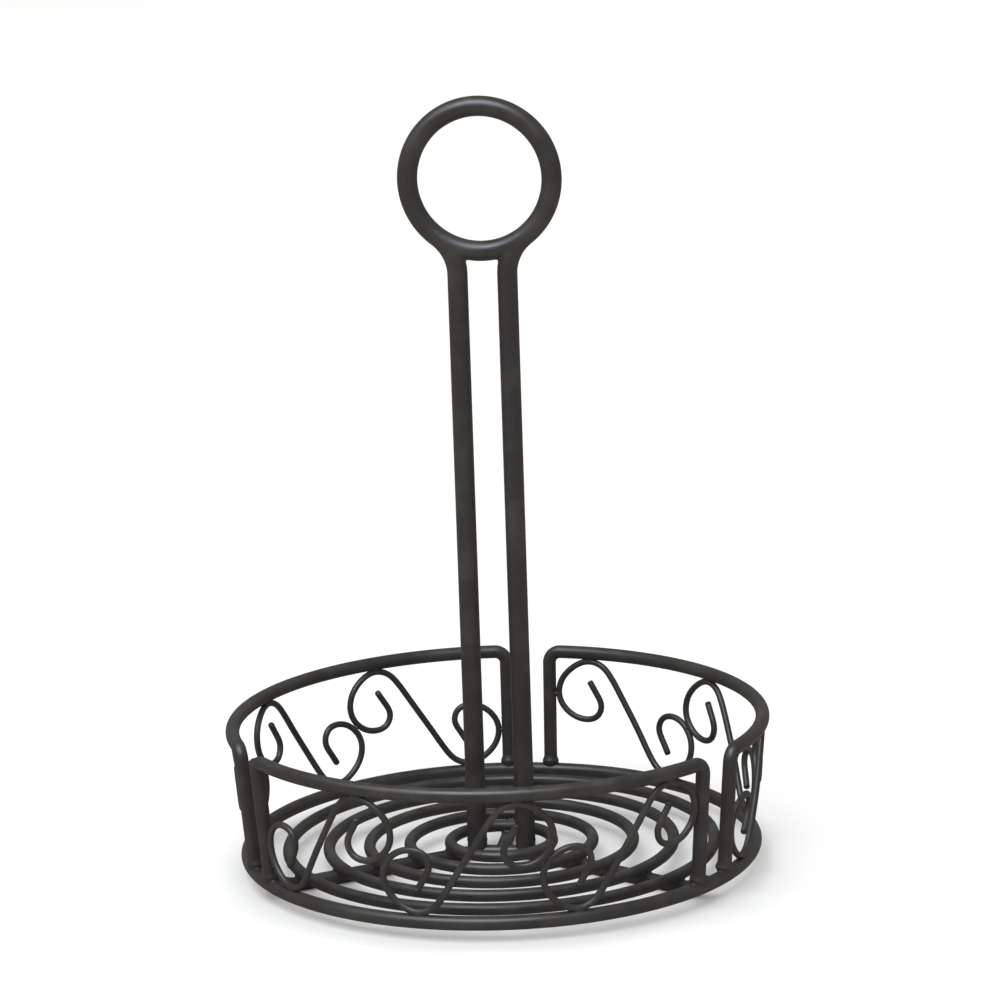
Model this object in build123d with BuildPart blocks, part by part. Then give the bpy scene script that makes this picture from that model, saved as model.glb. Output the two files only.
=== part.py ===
from build123d import *
import os
from math import asin, cos, degrees, radians, sin, sqrt

# Round table caddy of black wire, in millimetres.
# +Z is up, z = 0 is the underside of the base brace, and the Z axis is the middle of the basket.
# Each leg of the handle stands on the X axis, the open gaps between the side panels are at 90, 210
# and 330 degrees, and the panel at 270 degrees is the front.

# --- wires -----------------------------------------------------------------------------------------
HANDLE_ROD = 7.0           # diameter of the carrying handle's rod
FRAME_WIRE = 4.9           # diameter of the rails, posts, outer base ring and base brace
RING_WIRE = 4.2            # diameter of the inner base rings
SCROLL_WIRE = 2.3          # diameter of the S-scrolls

# --- base ------------------------------------------------------------------------------------------
BASE_RING_RADIUS = 89.5    # centreline of the outer ring
INNER_RINGS = 5            # evenly spaced, from the outer ring to the legs of the handle
LEG_CLEARANCE = 3.8        # clear space from a leg of the handle to the innermost ring
BRACE_BEND = 12.0          # centreline bend of the brace under each leg
ARM_RISE_RUN = 9.0         # length of the end of each arm, in plan, that rises to the outer ring
ARM_BEND = 12.0            # centreline bend where it starts to rise
ARM_INSET = 1.2            # from the end of an arm to the outer ring's centreline

# --- side panels -----------------------------------------------------------------------------------
PANELS = 3
BACK_GAP_ANGLE = 90.0      # plan angle of the first gap, in degrees
RAIL_LEAN = 3.45           # distance that the panels lean out, from the outer ring to the rail
RAIL_RISE = 44.9           # from the base ring's centreline up to the rail's
POST_SPACING = 16.4        # between the centrelines of the two posts beside a gap, at the rail
CORNER_LEG = 4.2           # length that each rounded corner takes off its post and rail

# --- scrolls ---------------------------------------------------------------------------------------
SCROLLS_PER_PANEL = 3
SCROLL_GAP = 0.2           # clear space from a scroll to its neighbour or to the post
# Half a scroll, from the inner end of the curl to the middle of the S, as (along the panel, up):
# 1 is the farthest reach of the curl and half the scroll's height. The other half is the same, turned
# by half a turn about the middle.
CURL = [
    (0.60, 0.62), (0.50, 0.37), (0.435, 0.14), (0.49, -0.065), (0.675, -0.14), (0.885, 0.0),
    (1.0, 0.28), (0.98, 0.58), (0.84, 0.85), (0.62, 1.0), (0.43, 0.925), (0.30, 0.715), (0.15, 0.36),
]
CURL_SIDE = 0.90           # where the outer side of the curl passes its neighbour's

# --- handle ----------------------------------------------------------------------------------------
LEG_SPACING = 17.2         # between the centrelines of the two legs
LOOP_RADIUS = 24.8         # centreline of the round grip
LOOP_RISE = 235.5          # from the base ring's centreline up to the middle of the grip
FLARE_RADIUS = 16.5        # centreline bend from each leg out into the grip
BRIDGE_SET_BACK = 7.0      # from each end of the rod that closes the grip to the flare, in degrees

# --- welds -----------------------------------------------------------------------------------------
RING_SET_DOWN = 0.6        # depth that a base ring is pressed into the brace and spoke
COPE_DEPTH = 1.2           # depth that a post, leg or arm is cut to sit on the wire that it meets
SCROLL_SINK = 0.35         # depth that a scroll is pressed against the rail and the ring

# --- heights and places that follow ------------------------------------------------------------------
brace_z = FRAME_WIRE / 2
ring_z = FRAME_WIRE - RING_SET_DOWN + RING_WIRE / 2
rail_z = ring_z + RAIL_RISE
loop_z = ring_z + LOOP_RISE
rail_radius = BASE_RING_RADIUS + RAIL_LEAN
leg_x = LEG_SPACING / 2
innermost_radius = leg_x + HANDLE_ROD / 2 + LEG_CLEARANCE + RING_WIRE / 2
ring_pitch = (BASE_RING_RADIUS - innermost_radius) / INNER_RINGS
panel_turn = 360 / PANELS
gap_angles = [BACK_GAP_ANGLE + i * panel_turn for i in range(PANELS)]
post_half_angle = degrees(asin(POST_SPACING / 2 / rail_radius))
seam_turn = 37             # keeps the start of a wire's round section away from the cuts, in degrees


def polar(radius, angle, z):
    """Point at a radius and a plan angle in degrees from the Z axis, at height z."""
    return Vector(radius * cos(radians(angle)), radius * sin(radians(angle)), z)


def wall_radius(z):
    """Radius of the leaning side wall at height z."""
    return BASE_RING_RADIUS + RAIL_LEAN * (z - ring_z) / RAIL_RISE


def save(part, label):
    """Label a finished piece and write its STEP file."""
    part.label = label
    export_step(part, f"parts/{label}.step")


os.makedirs("parts", exist_ok=True)


# --- base rings: one heavy outer ring and lighter rings inside it, all in one plane -------------------
def base_ring(radius, diameter):
    """Closed ring of round wire at the height of the base."""
    with BuildPart() as ring:
        with BuildSketch(Plane.XZ):
            with Locations((radius, ring_z)):
                Circle(diameter / 2)
        revolve(axis=Axis.Z)
    return ring.part


outer_ring = base_ring(BASE_RING_RADIUS, FRAME_WIRE)
inner_rings = [base_ring(BASE_RING_RADIUS - (i + 1) * ring_pitch, RING_WIRE) for i in range(INNER_RINGS)]
save(outer_ring, "base_outer_ring")
for i, ring in enumerate(inner_rings):
    save(ring, f"base_inner_ring_{i + 1}")


# --- base brace: one bent wire that passes under both legs and out to the two front gaps ---------------
def arm_route(foot, gap):
    """Corners of an arm of the brace: level from its foot, then up to the outer ring at a gap."""
    level_end = polar(BASE_RING_RADIUS - ARM_INSET, gap, brace_z)
    knee = level_end - (level_end - foot).normalized() * ARM_RISE_RUN
    return [foot, knee, polar(BASE_RING_RADIUS - ARM_INSET, gap, ring_z)]


left_arm = arm_route(Vector(-leg_x, 0, brace_z), gap_angles[1])
right_arm = arm_route(Vector(leg_x, 0, brace_z), gap_angles[2])
with BuildPart() as base_brace:
    with BuildLine() as brace_path:
        FilletPolyline(*reversed(left_arm), *right_arm, radius=[ARM_BEND, BRACE_BEND, BRACE_BEND, ARM_BEND])
    with BuildSketch(brace_path.line ^ 0):
        Circle(FRAME_WIRE / 2)
    sweep()
    add([outer_ring] + inner_rings, mode=Mode.SUBTRACT)
save(base_brace.part, "base_brace")

# --- back spoke: third arm of the brace, out to the back gap -------------------------------------------
back_arm = arm_route(Vector(0, FRAME_WIRE / 2 - COPE_DEPTH, brace_z), gap_angles[0])
with BuildPart() as back_spoke:
    with BuildLine() as spoke_path:
        FilletPolyline(*back_arm, radius=ARM_BEND)
    with BuildSketch(spoke_path.line ^ 0):
        with Locations(Rotation(0, 0, seam_turn)):
            Circle(FRAME_WIRE / 2)
    sweep()
    add([outer_ring, base_brace.part] + inner_rings, mode=Mode.SUBTRACT)
save(back_spoke.part, "back_spoke")

# --- handle: one rod, up from the base, out into a round grip and down again ---------------------------
flare_reach = leg_x + FLARE_RADIUS
flare_centre_z = loop_z - sqrt((LOOP_RADIUS + FLARE_RADIUS) ** 2 - flare_reach ** 2)
flare_angle = degrees(asin(flare_reach / (LOOP_RADIUS + FLARE_RADIUS)))
bridge_half_angle = flare_angle - BRIDGE_SET_BACK
leg_foot_z = FRAME_WIRE - COPE_DEPTH
with BuildPart() as handle_rod:
    with BuildLine(Plane.XZ) as handle_path:
        Line((-leg_x, leg_foot_z), (-leg_x, flare_centre_z))
        CenterArc((-flare_reach, flare_centre_z), FLARE_RADIUS, 0, 90 - flare_angle)
        CenterArc((0, loop_z), LOOP_RADIUS, 270 - flare_angle, 2 * flare_angle - 360)
        CenterArc((flare_reach, flare_centre_z), FLARE_RADIUS, 90 + flare_angle, 90 - flare_angle)
        Line((leg_x, flare_centre_z), (leg_x, leg_foot_z))
    with BuildSketch(handle_path.line ^ 0):
        Circle(HANDLE_ROD / 2)
    sweep()
    add(base_brace.part, mode=Mode.SUBTRACT)
save(handle_rod.part, "handle_rod")

# --- handle bridge: short rod that closes the grip between the flares ----------------------------------
with BuildPart() as handle_bridge:
    with BuildLine(Plane.XZ) as bridge_path:
        CenterArc((0, loop_z), LOOP_RADIUS, 270 - bridge_half_angle, 2 * bridge_half_angle)
    with BuildSketch(bridge_path.line ^ 0):
        Circle(HANDLE_ROD / 2)
    sweep()
    add(handle_rod.part, mode=Mode.SUBTRACT)
save(handle_bridge.part, "handle_bridge")


# --- panel frames: a post, the curved top rail and the second post, bent from one wire -----------------
def panel_frame(gap):
    """Open frame that runs from one gap, at a plan angle in degrees, to the next."""
    first = gap + post_half_angle
    last = gap + panel_turn - post_half_angle
    corner_turn = degrees(CORNER_LEG / rail_radius)
    foot_z = ring_z + FRAME_WIRE / 2 - COPE_DEPTH
    rail_start = polar(rail_radius, first + corner_turn, rail_z)
    rail_middle = polar(rail_radius, (first + last) / 2, rail_z)
    rail_end = polar(rail_radius, last - corner_turn, rail_z)
    with BuildPart() as frame:
        with BuildLine() as frame_path:
            rail = ThreePointArc(rail_start, rail_middle, rail_end)
            for end, side, angle in ((0, -1, first), (1, 1, last)):
                corner = rail @ end + (rail % end) * side * CORNER_LEG
                foot = polar(wall_radius(foot_z), angle, foot_z)
                up = (corner - foot).normalized()
                bend = corner - up * CORNER_LEG
                Line(foot, bend)
                TangentArc(bend, rail @ end, tangent=up)
        with BuildSketch(frame_path.line ^ 0):
            Circle(FRAME_WIRE / 2)
        sweep()
        add(outer_ring, mode=Mode.SUBTRACT)
    return frame.part


PANEL_NAMES = ["left", "front", "right"]
frames = [panel_frame(gap) for gap in gap_angles]
for name, frame in zip(PANEL_NAMES, frames):
    save(frame, f"{name}_panel_frame")

# --- scrolls: S-shaped wires that stand on the outer ring and touch the underside of the rail ----------
scroll_floor = ring_z + FRAME_WIRE / 2 + SCROLL_WIRE / 2 - SCROLL_SINK
scroll_roof = rail_z - FRAME_WIRE / 2 - SCROLL_WIRE / 2 + SCROLL_SINK
scroll_middle_z = (scroll_floor + scroll_roof) / 2
scroll_half_height = (scroll_roof - scroll_floor) / 2
scroll_wall = wall_radius(scroll_middle_z)
half_panel = radians(panel_turn / 2 - post_half_angle) * scroll_wall
curl_sides = (SCROLLS_PER_PANEL - 1) * CURL_SIDE + 1
free_width = half_panel - FRAME_WIRE / 2 - SCROLLS_PER_PANEL * (SCROLL_WIRE / 2) - 2 * SCROLL_GAP
scroll_reach = free_width / curl_sides
scroll_step = degrees((2 * CURL_SIDE * scroll_reach + SCROLL_WIRE + SCROLL_GAP) / scroll_wall)


def scroll_point(angle, across, up):
    """Point of the scroll at a plan angle, from its place in the flat drawing of the curl."""
    z = scroll_middle_z + up * scroll_half_height
    turn = degrees(across * scroll_reach / scroll_wall)
    return polar(wall_radius(z), angle + turn, z)


def scroll(angle, frame):
    """S-scroll with its middle at a plan angle, trimmed where it meets its frame and the ring."""
    upper = [scroll_point(angle, across, up) for across, up in CURL]
    lower = [scroll_point(angle, -across, -up) for across, up in reversed(CURL)]
    with BuildPart() as s_wire:
        with BuildLine() as s_path:
            Spline(*upper, scroll_point(angle, 0, 0), *lower)
        with BuildSketch(s_path.line ^ 0):
            with Locations(Rotation(0, 0, seam_turn)):
                Circle(SCROLL_WIRE / 2)
        sweep()
        add([frame, outer_ring], mode=Mode.SUBTRACT)
    return s_wire.part


for name, gap, frame in zip(PANEL_NAMES, gap_angles, frames):
    for i in range(SCROLLS_PER_PANEL):
        step = i - (SCROLLS_PER_PANEL - 1) / 2
        save(scroll(gap + panel_turn / 2 + step * scroll_step, frame), f"{name}_scroll_{i + 1}")
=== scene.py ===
"""Round wire table caddy: black coated wires, their welds, and a soft studio round them."""

import logging
import math
from collections.abc import Iterable
from dataclasses import dataclass, field
from enum import Enum
from functools import cache
from typing import NamedTuple

import bpy
import numpy as np
from mathutils import Matrix, Vector


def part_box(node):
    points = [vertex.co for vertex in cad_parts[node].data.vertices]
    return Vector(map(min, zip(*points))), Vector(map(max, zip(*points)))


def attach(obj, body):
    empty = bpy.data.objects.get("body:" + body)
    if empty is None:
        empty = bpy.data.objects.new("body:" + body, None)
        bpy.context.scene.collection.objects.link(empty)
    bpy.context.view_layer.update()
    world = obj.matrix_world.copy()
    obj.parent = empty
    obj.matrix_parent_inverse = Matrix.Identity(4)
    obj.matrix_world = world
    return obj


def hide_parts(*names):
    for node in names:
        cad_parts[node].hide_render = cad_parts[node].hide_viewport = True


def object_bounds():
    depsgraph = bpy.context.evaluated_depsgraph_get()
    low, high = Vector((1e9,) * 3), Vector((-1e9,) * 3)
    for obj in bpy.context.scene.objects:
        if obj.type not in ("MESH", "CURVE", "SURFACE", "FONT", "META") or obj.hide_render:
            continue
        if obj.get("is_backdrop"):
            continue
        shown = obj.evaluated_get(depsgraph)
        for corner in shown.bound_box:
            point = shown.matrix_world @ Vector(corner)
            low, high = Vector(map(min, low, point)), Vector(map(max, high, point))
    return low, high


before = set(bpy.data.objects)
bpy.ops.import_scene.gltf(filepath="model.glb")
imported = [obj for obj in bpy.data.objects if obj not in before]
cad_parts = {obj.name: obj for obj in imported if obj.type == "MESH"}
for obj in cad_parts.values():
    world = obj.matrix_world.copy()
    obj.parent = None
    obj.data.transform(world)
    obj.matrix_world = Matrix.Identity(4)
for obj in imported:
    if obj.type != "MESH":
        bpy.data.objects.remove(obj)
CAD_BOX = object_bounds()

log = logging.getLogger("caddy")

MM = 0.001

Path = list[Vector]
Triple = tuple[float, float, float]
Tree = bpy.types.NodeTree
Socket = bpy.types.NodeSocket


def linked(name: str, data: bpy.types.ID) -> bpy.types.Object:
    """Makes an object of a mesh, a light or a camera, and links it to the scene."""
    made = bpy.data.objects.new(name, data)
    bpy.context.scene.collection.objects.link(made)
    return made


# --- geometry ---


def polar(radius: float, angle: float, z: float) -> Vector:
    """A point at a radius and a plan angle in degrees from the Z axis.

    Args:
        radius: Distance from the Z axis, in metres.
        angle: Plan angle from +X, in degrees.
        z: Height, in metres.

    Returns:
        The point.
    """
    turn = math.radians(angle)
    return Vector((radius * math.cos(turn), radius * math.sin(turn), z))


def tangent(angle: float) -> Vector:
    """The level direction that runs round the Z axis at a plan angle in degrees."""
    return polar(1.0, angle + 90, 0.0)


def arc(centre: Vector, start: Vector, axis: Vector, angle: float, step: float) -> Path:
    """Points along a circular arc.

    Args:
        centre: Centre of the arc.
        start: First point of the arc.
        axis: Unit axis that the arc turns about.
        angle: Turn about the axis, in radians.
        step: Largest length of one step, in metres.

    Returns:
        The points, both ends included.
    """
    from_centre = start - centre
    count = max(4, math.ceil(abs(angle) * from_centre.length / step))
    across = axis.cross(from_centre)
    points = []
    for i in range(count + 1):
        turn = angle * i / count
        points.append(centre + from_centre * math.cos(turn) + across * math.sin(turn))
    return points


def corner_arc(before: Vector, corner: Vector, after: Vector, trim: float, step: float) -> Path:
    """The arc that rounds a corner and takes the same length off both of its runs.

    Args:
        before: A point on the run that comes into the corner.
        corner: The sharp corner.
        after: A point on the run that leaves it.
        trim: Length taken off each run, in metres.
        step: Largest length of one step, in metres.

    Returns:
        Points of the arc, both ends included.
    """
    into = (corner - before).normalized()
    out = (after - corner).normalized()
    turn = into.angle(out)
    radius = trim / math.tan(turn / 2)
    axis = into.cross(out).normalized()
    start = corner - into * trim
    centre = start + axis.cross(into) * radius
    return arc(centre, start, axis, turn, step)


def bent_path(corners: Path, radii: list[float], step: float) -> Path:
    """Points along a bent wire: straight runs joined by arcs.

    Args:
        corners: The wire's ends and its sharp corners, in order.
        radii: Centreline radius of each bend, in metres.
        step: Largest length of one step round a bend, in metres.

    Returns:
        The points, both ends included.
    """
    points = [corners[0]]
    for before, corner, after, radius in zip(corners, corners[1:], corners[2:], radii):
        turn = (corner - before).angle(after - corner)
        points += corner_arc(before, corner, after, radius * math.tan(turn / 2), step)
    return points + [corners[-1]]


def nearest(one: Path, other: Path) -> tuple[Vector, Vector]:
    """The two points, one on each path, that lie closest together.

    Args:
        one: Points of a path.
        other: Points of another path.

    Returns:
        The point of the one and the point of the other.
    """
    a = np.array([tuple(p) for p in one])
    b = np.array([tuple(p) for p in other])
    gaps = np.linalg.norm(a[:, None, :] - b[None, :, :], axis=2)
    i, j = np.unravel_index(int(gaps.argmin()), gaps.shape)
    return one[i], other[j]


def smooth_curve(knots: Path, step: float) -> Path:
    """A natural cubic spline through points, spaced by their chords.

    Args:
        knots: Points that the curve passes through.
        step: Length of one step along the curve, in metres.

    Returns:
        Points along the curve.
    """
    p = np.array([tuple(k) for k in knots])
    t = np.concatenate(([0.0], np.cumsum(np.linalg.norm(np.diff(p, axis=0), axis=1))))
    gap = np.diff(t)
    n = len(p)
    system = np.eye(n)
    right = np.zeros((n, 3))
    for i in range(1, n - 1):
        system[i, i - 1] = gap[i - 1]
        system[i, i] = 2 * (gap[i - 1] + gap[i])
        system[i, i + 1] = gap[i]
        right[i] = 6 * ((p[i + 1] - p[i]) / gap[i] - (p[i] - p[i - 1]) / gap[i - 1])
    bend = np.linalg.solve(system, right)
    points = []
    for s in np.linspace(0.0, t[-1], math.ceil(t[-1] / step) + 1):
        i = min(int(np.searchsorted(t, s, side="right")) - 1, n - 2)
        a, b, h = t[i + 1] - s, s - t[i], gap[i]
        point = (
            (bend[i] * a**3 + bend[i + 1] * b**3) / (6 * h)
            + (p[i] / h - bend[i] * h / 6) * a
            + (p[i + 1] / h - bend[i + 1] * h / 6) * b
        )
        points.append(Vector(point))
    return points


def held_in_box(point: Vector) -> Vector:
    """The point, moved into the CAD model's box if a finer mesh stands proud of it."""
    low, high = CAD_BOX
    return Vector(min(max(value, least), most) for value, least, most in zip(point, low, high))


def steady_frames(points: Path, closed: bool) -> list[tuple[Vector, Vector]]:
    """Two directions across a path at each of its points, which turn as little as they can.

    Args:
        points: Points of the path.
        closed: True if the last point joins the first.

    Returns:
        A pair of unit vectors for each point, square to the path and to each other.
    """
    count = len(points)
    tangents = []
    for i in range(count):
        ahead = points[(i + 1) % count] if closed or i + 1 < count else points[i]
        behind = points[i - 1] if closed or i else points[i]
        tangents.append((ahead - behind).normalized())
    side = tangents[0].orthogonal().normalized()
    sides = [side]
    for i in range(1, count):
        side = (side - tangents[i] * side.dot(tangents[i])).normalized()
        sides.append(side)
    if closed:
        back = (side - tangents[0] * side.dot(tangents[0])).normalized()
        twist = math.atan2(back.cross(sides[0]).dot(tangents[0]), back.dot(sides[0]))
        sides = [
            s * math.cos(twist * i / count) + t.cross(s) * math.sin(twist * i / count)
            for i, (s, t) in enumerate(zip(sides, tangents))
        ]
    return [(s, t.cross(s)) for s, t in zip(sides, tangents)]


class WireRow(NamedTuple):
    """One round section of a wire."""

    centre: Vector
    side: Vector
    up: Vector
    radius: float


@dataclass
class WireMesh:
    """Vertices and faces of round wires, gathered into one mesh."""

    sides: int = 24
    end_steps: int = 4
    verts: Path = field(default_factory=list)
    faces: list[tuple[int, ...]] = field(default_factory=list)

    def add(
        self,
        points: Path,
        radius: float,
        closed: bool = False,
        round_end: float = 0.25,
        end_radius: float | None = None,
    ) -> None:
        """Adds a wire along a path.

        Args:
            points: Points of the wire's centreline.
            radius: Radius of the wire, in metres.
            closed: True for a ring.
            round_end: Rounding of the cut ends, in parts of the radius.
            end_radius: Radius at the last point, if the wire tapers.
        """
        last = radius if end_radius is None else end_radius
        count = len(points)
        rows = [
            WireRow(point, side, up, radius + (last - radius) * i / (count - 1))
            for i, (point, (side, up)) in enumerate(zip(points, steady_frames(points, closed)))
        ]
        if not closed:
            start = self._rounded_end(rows[0], rows[1], round_end)
            end = self._rounded_end(rows[-1], rows[-2], round_end)
            rows = start + rows[1:-1] + end[::-1]
        base = len(self.verts)
        for row in rows:
            for k in range(self.sides):
                turn = 2 * math.pi * k / self.sides
                outward = row.side * math.cos(turn) + row.up * math.sin(turn)
                self.verts.append(row.centre + outward * row.radius)
        count = len(rows)
        for i in range(count if closed else count - 1):
            here = base + i * self.sides
            there = base + (i + 1) % count * self.sides
            for k in range(self.sides):
                after = (k + 1) % self.sides
                self.faces.append((here + k, here + after, there + after, there + k))
        if not closed:
            self.faces.append(tuple(base + k for k in reversed(range(self.sides))))
            self.faces.append(tuple(base + (count - 1) * self.sides + k for k in range(self.sides)))

    def _rounded_end(self, tip: WireRow, inner: WireRow, round_end: float) -> list[WireRow]:
        """Rows that round a cut end, from its flat face inwards.

        Args:
            tip: Row at the end of the wire.
            inner: The row next to it.
            round_end: Rounding, in parts of the radius.

        Returns:
            The rows that take the tip's place.
        """
        inward = (inner.centre - tip.centre).normalized()
        depth = tip.radius * round_end
        rows = []
        for i in range(self.end_steps + 1):
            turn = math.pi / 2 * i / self.end_steps
            centre = tip.centre + inward * depth * (1 - math.cos(turn))
            rows.append(WireRow(centre, tip.side, tip.up, tip.radius - depth * (1 - math.sin(turn))))
        return rows

    def to_object(self, name: str) -> bpy.types.Object:
        """Makes the smooth-shaded object.

        Args:
            name: Name of the object.

        Returns:
            The object, linked to the scene.
        """
        mesh = bpy.data.meshes.new(name)
        mesh.from_pydata([tuple(held_in_box(v)) for v in self.verts], [], self.faces)
        mesh.shade_smooth()
        return linked(name, mesh)


# --- finishes ---


class Slot(Enum):
    """The record's material slots, one for each kind of wire."""

    HANDLE = "handle_coat"
    FRAME = "frame_coat"
    RING = "ring_coat"
    SCROLL = "scroll_coat"


@dataclass(frozen=True)
class CoatFinish:
    """Baked black coat on one kind of wire.

    The last three fields say how thick and thin, dusty and rubbed places differ in roughness.
    """

    slot: Slot
    black: Triple = (0.0285, 0.0262, 0.0250)
    thin: Triple = (0.041, 0.037, 0.033)
    dust: Triple = (0.20, 0.185, 0.165)
    ior: float = 1.5
    specular: float = 0.42
    gloss: float = 0.12
    gloss_roughness: float = 0.22
    roughness: float = 0.40
    peel_size: float = 0.9 * MM
    peel_depth: float = 0.020 * MM
    drift_size: float = 14 * MM
    dust_amount: float = 0.10
    rub_amount: float = 0.35
    thin_roughness: tuple[float, float] = (-0.04, 0.10)
    dust_roughness: float = 0.55
    rub_roughness: float = -0.12

    def material(self) -> bpy.types.Material:
        """Builds the material.

        Returns:
            The node material of this finish.
        """
        mat = bpy.data.materials.new(self.slot.value)
        mat.use_nodes = True
        tree = mat.node_tree
        nodes, links = tree.nodes, tree.links
        shader = nodes["Principled BSDF"]
        shader.inputs["IOR"].default_value = self.ior
        shader.inputs["Specular IOR Level"].default_value = self.specular
        shader.inputs["Coat Weight"].default_value = self.gloss
        shader.inputs["Coat Roughness"].default_value = self.gloss_roughness

        sizes = {"Cell size": self.peel_size, "Drift size": self.drift_size}
        peel = place_group(tree, orange_peel_group(), sizes)
        film = place_group(tree, dust_film_group(), {"Amount": self.dust_amount})
        rub = place_group(tree, rubbed_wire_group(), {"Amount": self.rub_amount})

        coat = mix_color(tree, peel.outputs["Drift"], self.black, self.thin)
        worn = mix_color(tree, rub.outputs["Mask"], coat, self.thin)
        dusty = mix_color(tree, film.outputs["Mask"], worn, self.dust)
        links.new(dusty, shader.inputs["Base Color"])

        thick_change, thin_change = self.thin_roughness
        thick = self.roughness + thick_change
        rough = combine(tree, "MULTIPLY_ADD", peel.outputs["Drift"], thin_change, thick)
        rough = combine(tree, "MULTIPLY_ADD", film.outputs["Mask"], self.dust_roughness, rough)
        rough = combine(tree, "MULTIPLY_ADD", rub.outputs["Mask"], self.rub_roughness, rough)
        links.new(rough, shader.inputs["Roughness"])

        bump = nodes.new("ShaderNodeBump")
        bump.inputs["Strength"].default_value = 1.0
        bump.inputs["Distance"].default_value = self.peel_depth
        links.new(peel.outputs["Height"], bump.inputs["Height"])
        links.new(bump.outputs["Normal"], shader.inputs["Normal"])
        return mat


def place_group(
    tree: Tree, group: Tree, values: dict[str, float]
) -> bpy.types.ShaderNode:
    """Places a shared effect in a material.

    Args:
        tree: The material's node tree.
        group: The effect's node group.
        values: Values for its named inputs.

    Returns:
        The group node.
    """
    node = tree.nodes.new("ShaderNodeGroup")
    node.node_tree = group
    for name, value in values.items():
        node.inputs[name].default_value = value
    return node


def combine(
    tree: Tree,
    operation: str,
    *values: float | Socket,
    clamp: bool = False,
) -> Socket:
    """Adds a Math node.

    Args:
        tree: The tree to add it to.
        operation: Name of the operation.
        values: Numbers or sockets, in the order of the node's inputs.
        clamp: True to keep the result from 0 to 1.

    Returns:
        The result's socket.
    """
    node = tree.nodes.new("ShaderNodeMath")
    node.operation = operation
    node.use_clamp = clamp
    for socket, value in zip(node.inputs, values):
        if isinstance(value, Socket):
            tree.links.new(value, socket)
        else:
            socket.default_value = value
    return node.outputs[0]


def mix_color(
    tree: Tree,
    factor: Socket,
    low: Socket | Triple,
    high: Triple,
) -> Socket:
    """Mixes two colours by a mask.

    Args:
        tree: The tree to add the node to.
        factor: The mask, from 0 for low to 1 for high.
        low: Colour or socket where the mask is 0.
        high: Colour where the mask is 1.

    Returns:
        The mixed colour's socket.
    """
    node = tree.nodes.new("ShaderNodeMix")
    node.data_type = "RGBA"
    tree.links.new(factor, node.inputs["Factor"])
    if isinstance(low, Socket):
        tree.links.new(low, node.inputs["A"])
    else:
        node.inputs["A"].default_value = (*low, 1.0)
    node.inputs["B"].default_value = (*high, 1.0)
    return node.outputs["Result"]


class NoiseLook(NamedTuple):
    """A noise's octaves and the weight of the finer ones, its mask's step, and its cells in a metre."""

    detail: float
    roughness: float
    low: float = 0.0
    high: float = 1.0
    scale: float = 1.0


PEEL = NoiseLook(1.5, 0.45)
SAG = NoiseLook(1.0, 0.4)
SAG_SCALE = 0.22  # of the peel's cells in a metre
SAG_WEIGHT = 1.6  # of the peel's height
DRIFT = NoiseLook(3.0, 0.55, 0.42, 0.68)
DUST_PATCHES = NoiseLook(4.0, 0.62, 0.40, 0.72, 160.0)
DUST_SPECKS = NoiseLook(2.0, 0.5, 0.60, 0.70, 2600.0)
SPECK_WEIGHT = 0.5  # beside the patches
DUST_LEAN = (0.25, 1.0)  # upward part of the normal where dust starts to lie, and where it is thickest
SCUFFS = NoiseLook(5.0, 0.7, 0.60, 0.74, 420.0)
SOLE_HEIGHT = (0.2 * MM, 1.0 * MM)  # over the table, where the rub starts to fade, and where it ends


@dataclass
class EffectGroup:
    """A shader node group in the making, with named inputs and outputs."""

    name: str
    inputs: dict[str, float]
    outputs: list[str]

    def __post_init__(self) -> None:
        """Makes the group's tree and its sockets."""
        self.tree = bpy.data.node_groups.new(self.name, "ShaderNodeTree")
        for label, value in self.inputs.items():
            socket = self.tree.interface.new_socket(label, in_out="INPUT", socket_type="NodeSocketFloat")
            socket.default_value = value
        for label in self.outputs:
            self.tree.interface.new_socket(label, in_out="OUTPUT", socket_type="NodeSocketFloat")
        self.entry = self.tree.nodes.new("NodeGroupInput")
        self.exit = self.tree.nodes.new("NodeGroupOutput")

    def noise(self, look: NoiseLook, scale: Socket | None = None) -> Socket:
        """Adds a noise texture over the object's own coordinates.

        Args:
            look: The noise's values.
            scale: Socket of the cells in a metre, in place of the look's own.

        Returns:
            The noise value's socket.
        """
        place = self.tree.nodes.new("ShaderNodeTexCoord")
        node = self.tree.nodes.new("ShaderNodeTexNoise")
        node.inputs["Scale"].default_value = look.scale
        node.inputs["Detail"].default_value = look.detail
        node.inputs["Roughness"].default_value = look.roughness
        self.tree.links.new(place.outputs["Object"], node.inputs["Vector"])
        if scale is not None:
            self.tree.links.new(scale, node.inputs["Scale"])
        return node.outputs["Fac"]

    def mask(self, look: NoiseLook, scale: Socket | None = None) -> Socket:
        """Adds a noise and steps it into a mask."""
        return self.ramp(self.noise(look, scale), look.low, look.high)

    def ramp(self, value: Socket, low: float, high: float) -> Socket:
        """Adds a smooth step of a value.

        Args:
            value: The value's socket.
            low: Where the step starts from 0.
            high: Where it reaches 1.

        Returns:
            The stepped value's socket.
        """
        node = self.tree.nodes.new("ShaderNodeMapRange")
        node.interpolation_type = "SMOOTHSTEP"
        self.tree.links.new(value, node.inputs["Value"])
        node.inputs["From Min"].default_value = low
        node.inputs["From Max"].default_value = high
        return node.outputs["Result"]

    def finish(self, results: dict[str, Socket]) -> Tree:
        """Joins the results to the group's outputs.

        Args:
            results: Socket for each named output.

        Returns:
            The finished group.
        """
        for label, socket in results.items():
            self.tree.links.new(socket, self.exit.inputs[label])
        return self.tree


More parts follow.
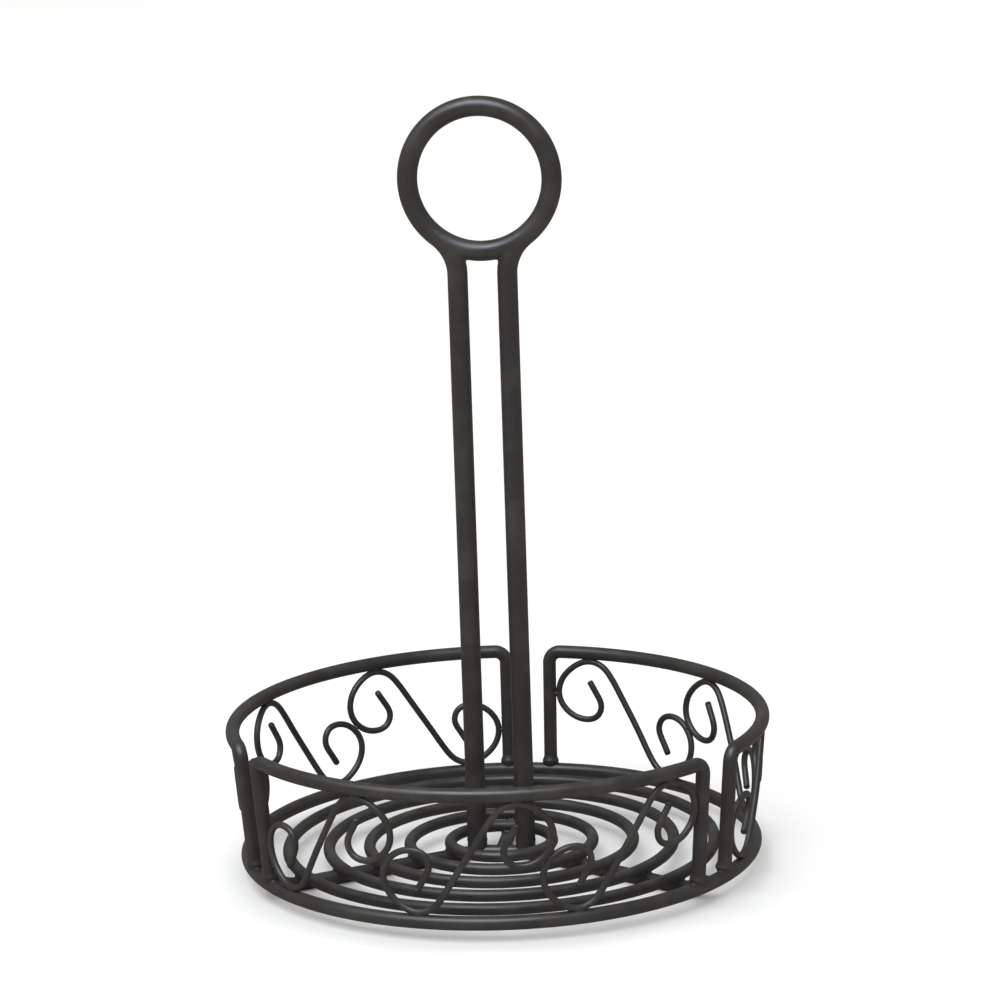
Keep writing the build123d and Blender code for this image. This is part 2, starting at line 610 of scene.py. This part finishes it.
@cache
def orange_peel_group() -> Tree:
    """Fine orange peel of a baked coat, and the slow drift of its thickness along the wire.

    Returns:
        The node group, built on first use.
    """
    group = EffectGroup("orange peel", {"Cell size": 1 * MM, "Drift size": 14 * MM}, ["Height", "Drift"])
    tree = group.tree
    cells = combine(tree, "DIVIDE", 1.0, group.entry.outputs["Cell size"])
    slow = combine(tree, "DIVIDE", 1.0, group.entry.outputs["Drift size"])
    peel = group.noise(PEEL, cells)
    sag = group.noise(SAG, combine(tree, "MULTIPLY", cells, SAG_SCALE))
    height = combine(tree, "MULTIPLY_ADD", sag, SAG_WEIGHT, peel)
    return group.finish({"Height": height, "Drift": group.mask(DRIFT, slow)})


@cache
def dust_film_group() -> Tree:
    """Thin dust that settles on what faces up, broken into patches.

    Returns:
        The node group, built on first use.
    """
    group = EffectGroup("dust film", {"Amount": 0.1}, ["Mask"])
    tree = group.tree
    surface = tree.nodes.new("ShaderNodeNewGeometry")
    split = tree.nodes.new("ShaderNodeSeparateXYZ")
    tree.links.new(surface.outputs["Normal"], split.inputs["Vector"])
    facing_up = group.ramp(split.outputs["Z"], *DUST_LEAN)
    patches = group.mask(DUST_PATCHES)
    film = combine(tree, "MULTIPLY_ADD", group.mask(DUST_SPECKS), SPECK_WEIGHT, patches)
    mask = combine(tree, "MULTIPLY", film, facing_up)
    mask = combine(tree, "MULTIPLY", mask, group.entry.outputs["Amount"], clamp=True)
    return group.finish({"Mask": mask})


@cache
def rubbed_wire_group() -> Tree:
    """Where the coat is rubbed: small scuffs here and there, and the undersides that stand on a table.

    Returns:
        The node group, built on first use.
    """
    group = EffectGroup("rubbed wire", {"Amount": 0.3}, ["Mask"])
    tree = group.tree
    place = tree.nodes.new("ShaderNodeTexCoord")
    split = tree.nodes.new("ShaderNodeSeparateXYZ")
    tree.links.new(place.outputs["Object"], split.inputs["Vector"])
    sole = combine(tree, "SUBTRACT", 1.0, group.ramp(split.outputs["Z"], *SOLE_HEIGHT))
    both = combine(tree, "MAXIMUM", sole, group.mask(SCUFFS))
    mask = combine(tree, "MULTIPLY", both, group.entry.outputs["Amount"], clamp=True)
    return group.finish({"Mask": mask})


class CoatRack:
    """The finishes by slot, each built once."""

    FINISHES = (
        CoatFinish(Slot.HANDLE, roughness=0.38, peel_size=1.1 * MM),
        CoatFinish(Slot.FRAME, roughness=0.40),
        CoatFinish(Slot.RING, roughness=0.41, dust_amount=0.14),
        CoatFinish(Slot.SCROLL, roughness=0.43, peel_size=0.6 * MM, peel_depth=0.012 * MM),
    )

    def __init__(self) -> None:
        """Builds every finish's material."""
        self.materials = {finish.slot: finish.material() for finish in self.FINISHES}

    def dress(self, piece: bpy.types.Object, slot: Slot) -> None:
        """Gives a piece its coat and says which of the record's slots it stands for.

        Args:
            piece: The piece to dress.
            slot: The coat's material slot.
        """
        piece.data.materials.clear()
        piece.data.materials.append(self.materials[slot])


# --- welds ---


@dataclass(frozen=True)
class Stub:
    """Short length of wire at a weld, thicker or thinner towards its last point."""

    points: tuple[Vector, ...]
    radius: float
    end_radius: float


SWELL = 1.02  # of a wire at the middle of its weld, where the weld's skin lies just outside it
FADE = 0.93  # of the same wire where the skin has sunk into it again


def fading(start: Vector, along: Vector, reach: float, radius: float, swell: float = SWELL) -> Stub:
    """A stub that starts at a weld and sinks into its wire.

    Args:
        start: Where the weld is, on the wire's centreline.
        along: Direction of the wire, away from the weld.
        reach: Length of the stub, in metres.
        radius: Radius of the wire, in metres.
        swell: Radius of the stub at the weld, in parts of the wire's.

    Returns:
        The stub.
    """
    end = start + along.normalized() * reach
    return Stub((start, start.lerp(end, 0.5), end), radius * swell, radius * FADE)


def through(centre: Vector, along: Vector, reach: float, radius: float) -> list[Stub]:
    """Two stubs of a wire that runs on through a weld."""
    return [fading(centre, along, reach, radius), fading(centre, -along, reach, radius)]


def bead(start: Vector, end: Vector, radius: float) -> Stub:
    """A bead of weld metal from one point to another."""
    return Stub((start, start.lerp(end, 0.5), end), radius, radius)


@dataclass
class WeldSkin:
    """All welds of one sub-assembly: stubs and beads melted into one skin, then smoothed."""

    name: str
    grain: float
    passes: int = 6
    pull: float = 0.5
    sides: int = 18
    round_end: float = 0.7

    def build(self, stubs: Iterable[Stub]) -> bpy.types.Object:
        """Builds the skin.

        Args:
            stubs: The stubs and beads to melt together.

        Returns:
            The object that holds all of them.
        """
        raw = WireMesh(sides=self.sides)
        for stub in stubs:
            raw.add(list(stub.points), stub.radius, round_end=self.round_end, end_radius=stub.end_radius)
        rough = raw.to_object(f"{self.name}_raw")
        melt = rough.modifiers.new("melt", "REMESH")
        melt.mode = "VOXEL"
        melt.voxel_size = self.grain
        melt.use_smooth_shade = True
        relax = rough.modifiers.new("relax", "SMOOTH")
        relax.factor = self.pull
        relax.iterations = self.passes
        depsgraph = bpy.context.evaluated_depsgraph_get()
        mesh = bpy.data.meshes.new_from_object(rough.evaluated_get(depsgraph), depsgraph=depsgraph)
        mesh.name = self.name
        mesh.shade_smooth()
        for vertex in mesh.vertices:
            vertex.co = held_in_box(vertex.co)
        bpy.data.objects.remove(rough)
        log.info("%s: %d faces", self.name, len(mesh.polygons))
        return linked(self.name, mesh)


# --- sub-assemblies ---


def ring_of(node: str) -> Triple:
    """Sizes of a CAD ring, from its box.

    Args:
        node: Name of the ring's node.

    Returns:
        Radius of its centreline, radius of its wire and height of its centreline, in metres.
    """
    low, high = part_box(node)
    wire = (high.z - low.z) / 2
    return (high.x - low.x) / 2 - wire, wire, (high.z + low.z) / 2


class PanelSide(Enum):
    """The three side panels, by the plan angle of the gap that each starts from."""

    LEFT = 90.0
    FRONT = 210.0
    RIGHT = 330.0

    @property
    def label(self) -> str:
        """The side's part of a node's name."""
        return self.name.lower()


@dataclass
class WireAssembly:
    """What all sub-assemblies share: how a wire takes its node's place and how welds are laid."""

    coats: CoatRack

    def place(
        self, node: str, slot: Slot, points: Path, radius: float, sides: int = 24, **form: bool | float
    ) -> None:
        """Builds one wire, dresses it and puts it in place of its node.

        Args:
            node: Name of the node that it stands for.
            slot: The coat's material slot.
            points: Points of its centreline.
            radius: Radius of the wire, in metres.
            sides: Sides of its round section.
            form: Whether it is closed, or the rounding of its ends.
        """
        mesh = WireMesh(sides=sides)
        mesh.add(points, radius, **form)
        piece = mesh.to_object(f"wire_{node}")
        self.coats.dress(piece, slot)
        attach(piece, "root")
        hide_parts(node)
        log.info("%s stands for %s", piece.name, node)

    def weld(self, skin: WeldSkin, stubs: Iterable[Stub], slot: Slot) -> None:
        """Lays the sub-assembly's welds.

        Args:
            skin: The skin to build.
            stubs: What it is melted from.
            slot: The coat's material slot.
        """
        piece = skin.build(stubs)
        self.coats.dress(piece, slot)
        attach(piece, "root")


@dataclass
class BaseGrille(WireAssembly):
    """Grille of concentric rings on a bent brace with three arms.

    A reach is the length of a weld's stubs, and a swell is in parts of the welded wire's radius.
    """

    inner_rings: int = 5
    leg_x: float = 8.6 * MM
    brace_bend: float = 12.0 * MM
    arm_bend: float = 12.0 * MM
    arm_rise_run: float = 9.0 * MM
    arm_inset: float = 1.2 * MM
    cope_depth: float = 1.2 * MM
    step: float = 1.2 * MM
    arm_reach: float = 4.0 * MM
    ring_reach: float = 4.2 * MM
    rim_reach: float = 5.0 * MM
    brace_reach: float = 4.6 * MM
    bead_span: tuple[float, float] = (0.4, 0.6)
    bead_swell: float = 1.1
    arm_start_swell: float = 1.12
    arm_end_swell: float = 1.06

    def __post_init__(self) -> None:
        """Reads the rings' and the brace's sizes from the frame."""
        self.outer_radius, self.outer_wire, self.ring_z = ring_of("base_outer_ring")
        low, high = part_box("back_spoke")
        self.brace_wire = (high.x - low.x) / 2
        self.brace_z = low.z + self.brace_wire
        self.feet = {
            PanelSide.LEFT: Vector((0, self.brace_wire - self.cope_depth, self.brace_z)),
            PanelSide.FRONT: Vector((-self.leg_x, 0, self.brace_z)),
            PanelSide.RIGHT: Vector((self.leg_x, 0, self.brace_z)),
        }

    def arm_route(self, side: PanelSide) -> Path:
        """Corners of the arm that reaches a panel's first gap.

        Args:
            side: The panel.

        Returns:
            The arm's foot, where it starts to rise, and its end at the outer ring.
        """
        foot = self.feet[side]
        level_end = polar(self.outer_radius - self.arm_inset, side.value, self.brace_z)
        knee = level_end - (level_end - foot).normalized() * self.arm_rise_run
        return [foot, knee, polar(self.outer_radius - self.arm_inset, side.value, self.ring_z)]

    def build(self) -> None:
        """Builds and dresses the rings, the brace, its back arm and their welds."""
        self._ring("base_outer_ring", Slot.FRAME)
        for i in range(self.inner_rings):
            self._ring(f"base_inner_ring_{i + 1}", Slot.RING)
        self._brace()
        self._back_arm()
        self.weld(WeldSkin("base_welds", grain=0.34 * MM), self.stubs(), Slot.RING)

    def _ring(self, node: str, slot: Slot) -> None:
        """Builds one ring in place of its node.

        Args:
            node: Name of the ring's node.
            slot: The coat's material slot.
        """
        radius, wire, z = ring_of(node)
        axis = Vector((0, 0, 1))
        points = arc(Vector((0, 0, z)), Vector((radius, 0, z)), axis, 2 * math.pi, self.step)
        self.place(node, slot, points[:-1], wire, closed=True)

    def _brace(self) -> None:
        """Builds the wire that runs from gap to gap under both legs."""
        corners = self.arm_route(PanelSide.FRONT)[::-1] + self.arm_route(PanelSide.RIGHT)
        radii = [self.arm_bend, self.brace_bend, self.brace_bend, self.arm_bend]
        self.place("base_brace", Slot.FRAME, bent_path(corners, radii, self.step), self.brace_wire)

    def _back_arm(self) -> None:
        """Builds the third arm, out to the back gap."""
        path = bent_path(self.arm_route(PanelSide.LEFT), [self.arm_bend], self.step)
        self.place("back_spoke", Slot.FRAME, path, self.brace_wire)

    def stubs(self) -> list[Stub]:
        """Welds at each crossing of a ring and an arm, at the arms' ends, and where the back arm starts.

        Returns:
            The stubs and beads of the base.
        """
        found = []
        for side in PanelSide:
            foot, knee, end = self.arm_route(side)
            way = (knee - foot).normalized()
            for i in range(self.inner_rings):
                radius, wire, z = ring_of(f"base_inner_ring_{i + 1}")
                along = -foot.xy.dot(way.xy)
                reach = along + math.sqrt(along**2 - foot.xy.length_squared + radius**2)
                cross = foot + way * reach
                ring_point = Vector((cross.x, cross.y, z))
                round_ring = Vector((-cross.y, cross.x, 0))
                low, high = (cross.lerp(ring_point, share) for share in self.bead_span)
                found += through(cross, way, self.arm_reach, self.brace_wire)
                found += through(ring_point, round_ring, self.ring_reach, wire)
                found.append(bead(low, high, wire * self.bead_swell))
            rim = polar(self.outer_radius, side.value, self.ring_z)
            found += through(rim, Vector((-rim.y, rim.x, 0)), self.rim_reach, self.outer_wire)
            found.append(fading(end, knee - end, self.rim_reach, self.brace_wire, self.arm_end_swell))
        middle = Vector((0, 0, self.brace_z))
        found += through(middle, Vector((1, 0, 0)), self.brace_reach, self.brace_wire)
        start = Vector((0, self.brace_wire, self.brace_z))
        back = Vector((0, 1, 0))
        found.append(fading(start, back, self.arm_reach, self.brace_wire, self.arm_start_swell))
        return found


@dataclass
class Handle(WireAssembly):
    """Tall handle: one rod bent into two legs and a round grip, and the short rod that closes the grip.

    The rows are those of the weld stubs up the grip and down the legs. A crotch is the inner corner
    between the bridge and a leg.
    """

    base: BaseGrille
    flare_radius: float = 16.5 * MM
    sides: int = 36
    step: float = 1.0 * MM
    grip_rows: int = 9
    grip_row_turn: float = 3.0
    leg_rows: int = 4
    leg_row_step: float = 2.0 * MM
    crotch_inset: float = 0.86
    crotch_run: tuple[float, float] = (1.0 * MM, 0.8 * MM)
    crotch_swell: float = 0.62
    brace_reach: float = 6.0 * MM
    foot_lift: float = 2.0 * MM
    foot_reach: float = 6.5 * MM
    foot_swell: float = 1.07

    def __post_init__(self) -> None:
        """Reads the rod's, grip's and legs' sizes from the frame."""
        low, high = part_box("handle_rod")
        self.leg_x = self.base.leg_x
        self.rod = (high.y - low.y) / 2
        self.grip_radius = (high.x - low.x) / 2 - self.rod
        self.grip_z = high.z - self.rod - self.grip_radius
        self.foot_z = low.z
        self.flare_x = self.leg_x + self.flare_radius
        span = self.grip_radius + self.flare_radius
        self.flare_z = self.grip_z - math.sqrt(span**2 - self.flare_x**2)
        self.flare_angle = math.asin(self.flare_x / span)

    def build(self) -> None:
        """Builds and dresses the rod, the bridge and their welds."""
        self.place("handle_rod", Slot.HANDLE, self.rod_path(), self.rod, self.sides)
        self.place("handle_bridge", Slot.HANDLE, self.bridge_path(), self.rod, self.sides)
        self.weld(WeldSkin("handle_welds", grain=0.36 * MM, passes=12), self.stubs(), Slot.HANDLE)

    def grip_point(self, angle: float) -> Vector:
        """Point of the grip's centreline, by its angle from the lowest point, in radians."""
        outward = Vector((math.sin(angle), 0, -math.cos(angle)))
        return outward * self.grip_radius + Vector((0, 0, self.grip_z))

    def flare_path(self, side: int) -> Path:
        """Centreline of a flare.

        Args:
            side: -1 for the left leg's flare, 1 for the right one's.

        Returns:
            Points from the leg to the grip.
        """
        centre = Vector((side * self.flare_x, 0, self.flare_z))
        start = Vector((side * self.leg_x, 0, self.flare_z))
        return arc(centre, start, Vector((0, side, 0)), math.pi / 2 - self.flare_angle, self.step)

    def rod_path(self) -> Path:
        """Centreline of the rod.

        Returns:
            Points from the foot of the left leg to the foot of the right one.
        """
        centre = Vector((0, 0, self.grip_z))
        sweep = 2 * math.pi - 2 * self.flare_angle
        grip = arc(centre, self.grip_point(-self.flare_angle), Vector((0, 1, 0)), sweep, self.step)
        left = self.leg_path(-1) + self.flare_path(-1)[1:]
        right = self.leg_path(1) + self.flare_path(1)[1:]
        return left + grip[1:-1] + right[::-1]

    def leg_path(self, side: int) -> Path:
        """Centreline of a leg.

        Args:
            side: -1 for the left leg, 1 for the right one.

        Returns:
            Points from the foot to the flare.
        """
        count = math.ceil((self.flare_z - self.foot_z) / (4 * self.step))
        rise = (self.flare_z - self.foot_z) / count
        return [Vector((side * self.leg_x, 0, self.foot_z + rise * i)) for i in range(count + 1)]

    def bridge_path(self) -> Path:
        """Centreline of the short rod across the bottom of the grip.

        Returns:
            Points from flare to flare.
        """
        centre = Vector((0, 0, self.grip_z))
        start = self.grip_point(-self.flare_angle)
        return arc(centre, start, Vector((0, -1, 0)), 2 * self.flare_angle, self.step)

    def stubs(self) -> list[Stub]:
        """Welds where the bridge runs into the flares, and at the foot of each leg.

        Returns:
            The stubs and beads of the handle.
        """
        swollen, sunk = self.rod * SWELL, self.rod * FADE
        found = [Stub(tuple(self.bridge_path()), swollen, swollen)]
        for side in (-1, 1):
            turns = (math.radians(self.grip_row_turn * i) for i in range(self.grip_rows))
            grip = tuple(self.grip_point(side * (self.flare_angle + turn)) for turn in turns)
            found.append(Stub(grip, swollen, sunk))
            drops = [self.leg_row_step * i for i in range(1, self.leg_rows + 1)]
            below = [Vector((side * self.leg_x, 0, self.flare_z - drop)) for drop in drops]
            flare = self.flare_path(side)[::-1]
            found.append(Stub(tuple(flare), swollen, swollen))
            found.append(Stub(tuple([flare[-1]] + below), swollen, sunk))
            inset = self.rod * self.crotch_inset
            crotch = Vector((side * (self.leg_x - inset), 0, self.grip_z - self.grip_radius - inset))
            across, up = self.crotch_run
            run = Vector((side * across, 0, up))
            found.append(bead(crotch, crotch + run, self.rod * self.crotch_swell))
            foot = Vector((side * self.leg_x, 0, self.base.brace_z))
            heel, knee, _ = self.base.arm_route(PanelSide.FRONT if side < 0 else PanelSide.RIGHT)
            for way in (knee - heel, Vector((-side, 0, 0))):
                found.append(fading(foot, way, self.brace_reach, self.base.brace_wire))
            ankle = foot + Vector((0, 0, self.foot_lift))
            found.append(fading(ankle, Vector((0, 0, 1)), self.foot_reach, self.rod, self.foot_swell))
        return found


@dataclass
class SidePanel(WireAssembly):
    """One side panel: the bent frame wire and the S-scrolls inside it.

    The curl is half a scroll, in shares of its reach and half height. A touch is where a scroll meets the
    rail or the ring, and post_share is the share of the frame's points on one post.
    """

    base: BaseGrille
    side: PanelSide
    rail_lean: float = 3.45 * MM
    post_spacing: float = 16.4 * MM
    corner_trim: float = 4.2 * MM
    scrolls: int = 3
    scroll_gap: float = 0.2 * MM
    scroll_sink: float = 0.35 * MM
    scroll_wire: float = 1.15 * MM
    scroll_sides: int = 20
    scroll_round: float = 0.7
    panel_turn: float = 120.0
    step: float = 1.0 * MM
    curl: tuple[tuple[float, float], ...] = (
        (0.60, 0.62), (0.50, 0.37), (0.435, 0.14), (0.49, -0.065), (0.675, -0.14), (0.885, 0.0),
        (1.0, 0.28), (0.98, 0.58), (0.84, 0.85), (0.62, 1.0), (0.43, 0.925), (0.30, 0.715), (0.15, 0.36),
    )
    curl_side: float = 0.90
    rim_reach: float = 6.0 * MM
    post_lift: float = 1.4 * MM
    post_reach: float = 6.2 * MM
    post_swell: float = 1.28
    touch_rows: int = 3
    touch_reach: float = 2.4 * MM
    touch_depth: float = 0.45
    touch_swell: float = 1.15
    side_swell: float = 0.9
    post_share: float = 0.16

    def __post_init__(self) -> None:
        """Works out the frame's and the scrolls' places from the CAD frame."""
        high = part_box(f"{self.side.label}_panel_frame")[1]
        self.wire = self.base.outer_wire
        self.rail_radius = self.base.outer_radius + self.rail_lean
        self.rail_z = high.z - self.wire
        self.foot_z = self.base.ring_z + self.wire - self.base.cope_depth
        self.half_post = math.degrees(math.asin(self.post_spacing / 2 / self.rail_radius))
        floor = self.base.ring_z + self.wire + self.scroll_wire - self.scroll_sink
        roof = self.rail_z - self.wire - self.scroll_wire + self.scroll_sink
        self.middle_z = (floor + roof) / 2
        self.half_height = (roof - floor) / 2
        self.wall = self.wall_radius(self.middle_z)
        half_panel = math.radians(self.panel_turn / 2 - self.half_post) * self.wall
        sides = (self.scrolls - 1) * self.curl_side + 1
        free = half_panel - self.wire - self.scrolls * self.scroll_wire - 2 * self.scroll_gap
        self.reach = free / sides
        pitch = 2 * self.curl_side * self.reach + 2 * self.scroll_wire + self.scroll_gap
        self.scroll_step = math.degrees(pitch / self.wall)

    def wall_radius(self, z: float) -> float:
        """Radius of the leaning side wall at a height, in metres."""
        ring_z = self.base.ring_z
        return self.base.outer_radius + self.rail_lean * (z - ring_z) / (self.rail_z - ring_z)

    def build(self) -> None:
        """Builds and dresses the frame, the scrolls and their welds."""
        label = self.side.label
        self.place(f"{label}_panel_frame", Slot.FRAME, self.frame_path(), self.wire)
        form = {"sides": self.scroll_sides, "round_end": self.scroll_round}
        for i in range(self.scrolls):
            self.place(f"{label}_scroll_{i + 1}", Slot.SCROLL, self.scroll_path(i), self.scroll_wire, **form)
        self.weld(WeldSkin(f"{label}_panel_welds", grain=0.27 * MM), self.stubs(), Slot.FRAME)

    def frame_path(self) -> Path:
        """Centreline of the frame.

        Returns:
            Points up a post, round the rail and down the other post.
        """
        first = self.side.value + self.half_post
        last = self.side.value + self.panel_turn - self.half_post
        corner_turn = math.degrees(self.corner_trim / self.rail_radius)
        start = polar(self.rail_radius, first + corner_turn, self.rail_z)
        sweep = math.radians(last - first - 2 * corner_turn)
        rail = arc(Vector((0, 0, self.rail_z)), start, Vector((0, 0, 1)), sweep, self.step)
        up = self._post(first, rail[0], first + corner_turn, -1)
        down = self._post(last, rail[-1], last - corner_turn, 1)
        return up + rail[1:-1] + down[::-1]

    def _post(self, angle: float, rail_end: Vector, rail_angle: float, side: int) -> Path:
        """Points up a post and round its corner to the end of the rail.

        Args:
            angle: Plan angle of the post, in degrees.
            rail_end: Where the bend of the corner meets the rail.
            rail_angle: Plan angle of that point, in degrees.
            side: -1 at the start of the rail, 1 at its end.

        Returns:
            Points from the post's foot to the rail.
        """
        corner = rail_end + tangent(rail_angle) * side * self.corner_trim
        foot = polar(self.wall_radius(self.foot_z), angle, self.foot_z)
        bend = corner_arc(foot, corner, rail_end, self.corner_trim, self.step / 2)
        count = math.ceil((bend[0] - foot).length / (2 * self.step))
        return [foot.lerp(bend[0], i / count) for i in range(count)] + bend

    def scroll_angle(self, index: int) -> float:
        """Plan angle of a scroll's middle, in degrees."""
        return self.side.value + self.panel_turn / 2 + (index - (self.scrolls - 1) / 2) * self.scroll_step

    def scroll_point(self, angle: float, across: float, up: float) -> Vector:
        """Point of a scroll from its place in the flat drawing of the curl."""
        z = self.middle_z + up * self.half_height
        return polar(self.wall_radius(z), angle + math.degrees(across * self.reach / self.wall), z)

    def scroll_path(self, index: int) -> Path:
        """Centreline of one S-scroll.

        Args:
            index: The scroll's place in the panel, from 0.

        Returns:
            Points from the end of its upper curl to the end of its lower one.
        """
        angle = self.scroll_angle(index)
        upper = [self.scroll_point(angle, across, up) for across, up in self.curl]
        lower = [self.scroll_point(angle, -across, -up) for across, up in reversed(self.curl)]
        return smooth_curve(upper + [self.scroll_point(angle, 0, 0)] + lower, self.step * 0.8)

    def stubs(self) -> list[Stub]:
        """Welds at the posts' feet, where scrolls meet the rail and ring, and where their sides touch.

        Returns:
            The stubs and beads of the panel.
        """
        found = []
        ends = (self.side.value + self.half_post, self.side.value + self.panel_turn - self.half_post)
        for angle in ends:
            ring_point = polar(self.base.outer_radius, angle, self.base.ring_z)
            top = polar(self.wall_radius(self.foot_z), angle, self.foot_z)
            found += through(ring_point, tangent(angle), self.rim_reach, self.wire)
            lifted = ring_point + Vector((0, 0, self.post_lift))
            found.append(fading(lifted, top - ring_point, self.post_reach, self.wire, self.post_swell))
        scrolls = [self.scroll_path(i) for i in range(self.scrolls)]
        for path in scrolls:
            for place, wall_z in (
                (max(path, key=lambda p: p.z), self.rail_z),
                (min(path, key=lambda p: p.z), self.base.ring_z),
            ):
                at = path.index(place)
                angle = math.degrees(math.atan2(place.y, place.x))
                heavy = polar(self.wall_radius(wall_z), angle, wall_z)
                after, before = path[at : at + self.touch_rows + 1], path[at - self.touch_rows : at + 1]
                for rows in (after, before[::-1]):
                    found.append(Stub(tuple(rows), self.scroll_wire * SWELL, self.scroll_wire * FADE))
                found += through(heavy, tangent(angle), self.touch_reach, self.wire)
                seat = place.lerp(heavy, self.touch_depth)
                found.append(bead(place, seat, self.scroll_wire * self.touch_swell))
        frame_wire = self.frame_path()
        post_rows = int(len(frame_wire) * self.post_share)
        pairs = list(zip(scrolls, scrolls[1:]))
        pairs += [(scrolls[0], frame_wire[:post_rows]), (scrolls[-1], frame_wire[-post_rows:])]
        for one, other in pairs:
            start, end = nearest(one, other)
            if (start - end).length < self.scroll_wire + self.wire + 2 * self.scroll_gap:
                found.append(bead(start, end, self.scroll_wire * self.side_swell))
        return found


# --- studio ---


@dataclass(frozen=True)
class Softbox:
    """Rectangular light with an even face."""

    name: str
    place: Triple
    aim: Triple
    width: float
    height: float
    radiance: float
    color: Triple = (1.0, 1.0, 1.0)
    mirrored: bool = True
    lights_matte: bool = True

    def build(self) -> None:
        """Adds the light, turned to what it is aimed at."""
        data = bpy.data.lights.new(self.name, "AREA")
        data.shape = "RECTANGLE"
        data.size = self.width
        data.size_y = self.height
        data.energy = self.radiance * math.pi * self.width * self.height
        data.color = self.color
        light = linked(self.name, data)
        place = Vector(self.place)
        light.location = place
        light.rotation_euler = (Vector(self.aim) - place).to_track_quat("-Z", "Y").to_euler()
        light.visible_glossy = self.mirrored
        light.visible_diffuse = self.lights_matte


@dataclass
class Studio:
    """Pale sweep, soft lights and the camera at the photograph's angle."""

    azimuth: float = 7.4
    elevation: float = 12.28
    roll: float = 1.9
    distance: float = 1.2772
    aim_side: float = 3.47 * MM
    aim_height: float = 129.8 * MM
    focal: float = 132.58
    sensor: float = 36.0
    clip_start: float = 0.05
    floor_size: float = 10.0
    floor_roughness: float = 0.85
    floor_color: Triple = (0.90, 0.895, 0.885)
    # Warm brown that only glossy rays see on the floor: a painted warm reflection in the wires.
    table_color: Triple = (0.20, 0.15, 0.11)
    backdrop: float = 1.0
    fill: float = 0.80
    mirrored_fill: float = 0.20
    softboxes: tuple[Softbox, ...] = (
        Softbox("key_softbox", (-0.30, -0.60, 1.15), (0, 0, 0.12), 1.5, 1.1, 2.2, (0.93, 0.96, 1.0)),
        Softbox("sky_card", (-0.14, -0.74, 1.28), (0, 0, 0.14), 0.80, 0.70, 8.0, (0.80, 0.87, 1.0),
                lights_matte=False),
        Softbox("sweep_light", (0, 2.8, 1.9), (0, 2.8, 0), 5.5, 3.2, 0.80, mirrored=False),
    )

    def build(self) -> None:
        """Builds the floor, the world, the lights and the camera."""
        self._floor()
        self._world()
        for softbox in self.softboxes:
            softbox.build()
        self._camera()
        bpy.context.scene.view_settings.view_transform = "Standard"

    def _floor(self) -> None:
        """Builds the floor under the lowest wire: pale to the eye, and warm brown to glossy rays only, which
        paints a warm reflection into the wires.
        """
        half = self.floor_size / 2
        z = CAD_BOX[0].z
        mesh = bpy.data.meshes.new("floor")
        corners = [(-half, -half, z), (half, -half, z), (half, half, z), (-half, half, z)]
        mesh.from_pydata(corners, [], [(0, 1, 2, 3)])
        floor = linked("floor", mesh)
        mat = bpy.data.materials.new("pale_floor")
        mat.use_nodes = True
        tree = mat.node_tree
        shader = tree.nodes["Principled BSDF"]
        shader.inputs["Roughness"].default_value = self.floor_roughness
        path = tree.nodes.new("ShaderNodeLightPath")
        # The floor turns warm brown for glossy rays only: a painted reflection on the wires' undersides.
        seen = mix_color(tree, path.outputs["Is Glossy Ray"], self.floor_color, self.table_color)
        tree.links.new(seen, shader.inputs["Base Color"])
        mesh.materials.append(mat)
        floor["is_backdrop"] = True

    def _world(self) -> None:
        """Fills the surroundings with pale light, shows white behind the object, and mirrors dim."""
        world = bpy.data.worlds.new("studio")
        bpy.context.scene.world = world
        world.use_nodes = True
        tree = world.node_tree
        path = tree.nodes.new("ShaderNodeLightPath")
        seen = path.outputs["Is Camera Ray"]
        mirrored = path.outputs["Is Glossy Ray"]
        strength = combine(tree, "MULTIPLY_ADD", seen, self.backdrop - self.fill, self.fill)
        strength = combine(tree, "MULTIPLY_ADD", mirrored, self.mirrored_fill - self.fill, strength)
        tree.links.new(strength, tree.nodes["Background"].inputs["Strength"])
        tree.nodes["Background"].inputs["Color"].default_value = (1.0, 1.0, 1.0, 1.0)

    def _camera(self) -> None:
        """Sets the camera where the photograph was taken from, with its slight roll."""
        turn, tilt, lean = (math.radians(a) for a in (self.azimuth, self.elevation, self.roll))
        right = Vector((math.cos(turn), math.sin(turn), 0))
        level = math.cos(tilt)
        ahead = Vector((-math.sin(turn) * level, math.cos(turn) * level, -math.sin(tilt)))
        up = right.cross(ahead)
        aim = right * self.aim_side + Vector((0, 0, self.aim_height))
        data = bpy.data.cameras.new("camera")
        data.sensor_width = self.sensor
        data.lens = self.focal
        data.clip_start = self.clip_start
        camera = linked("camera", data)
        camera.location = aim - ahead * self.distance
        side = right * math.cos(lean) - up * math.sin(lean)
        top = right * math.sin(lean) + up * math.cos(lean)
        camera.rotation_mode = "QUATERNION"
        camera.rotation_quaternion = Matrix((side, top, -ahead)).transposed().to_quaternion()
        bpy.context.scene.camera = camera


def main() -> None:
    """Builds the caddy and its studio."""
    logging.basicConfig(level=logging.INFO, format="%(name)s: %(message)s")
    coats = CoatRack()
    base = BaseGrille(coats)
    base.build()
    Handle(coats, base).build()
    for side in PanelSide:
        SidePanel(coats, base, side).build()
    Studio().build()
    boxes = {"cad": [list(c) for c in CAD_BOX], "visual": [list(c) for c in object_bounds()]}
    for name, box in boxes.items():
        log.info("%s box: %s", name, [[round(v, 5) for v in corner] for corner in box])


if __name__ == "__main__":
    main()
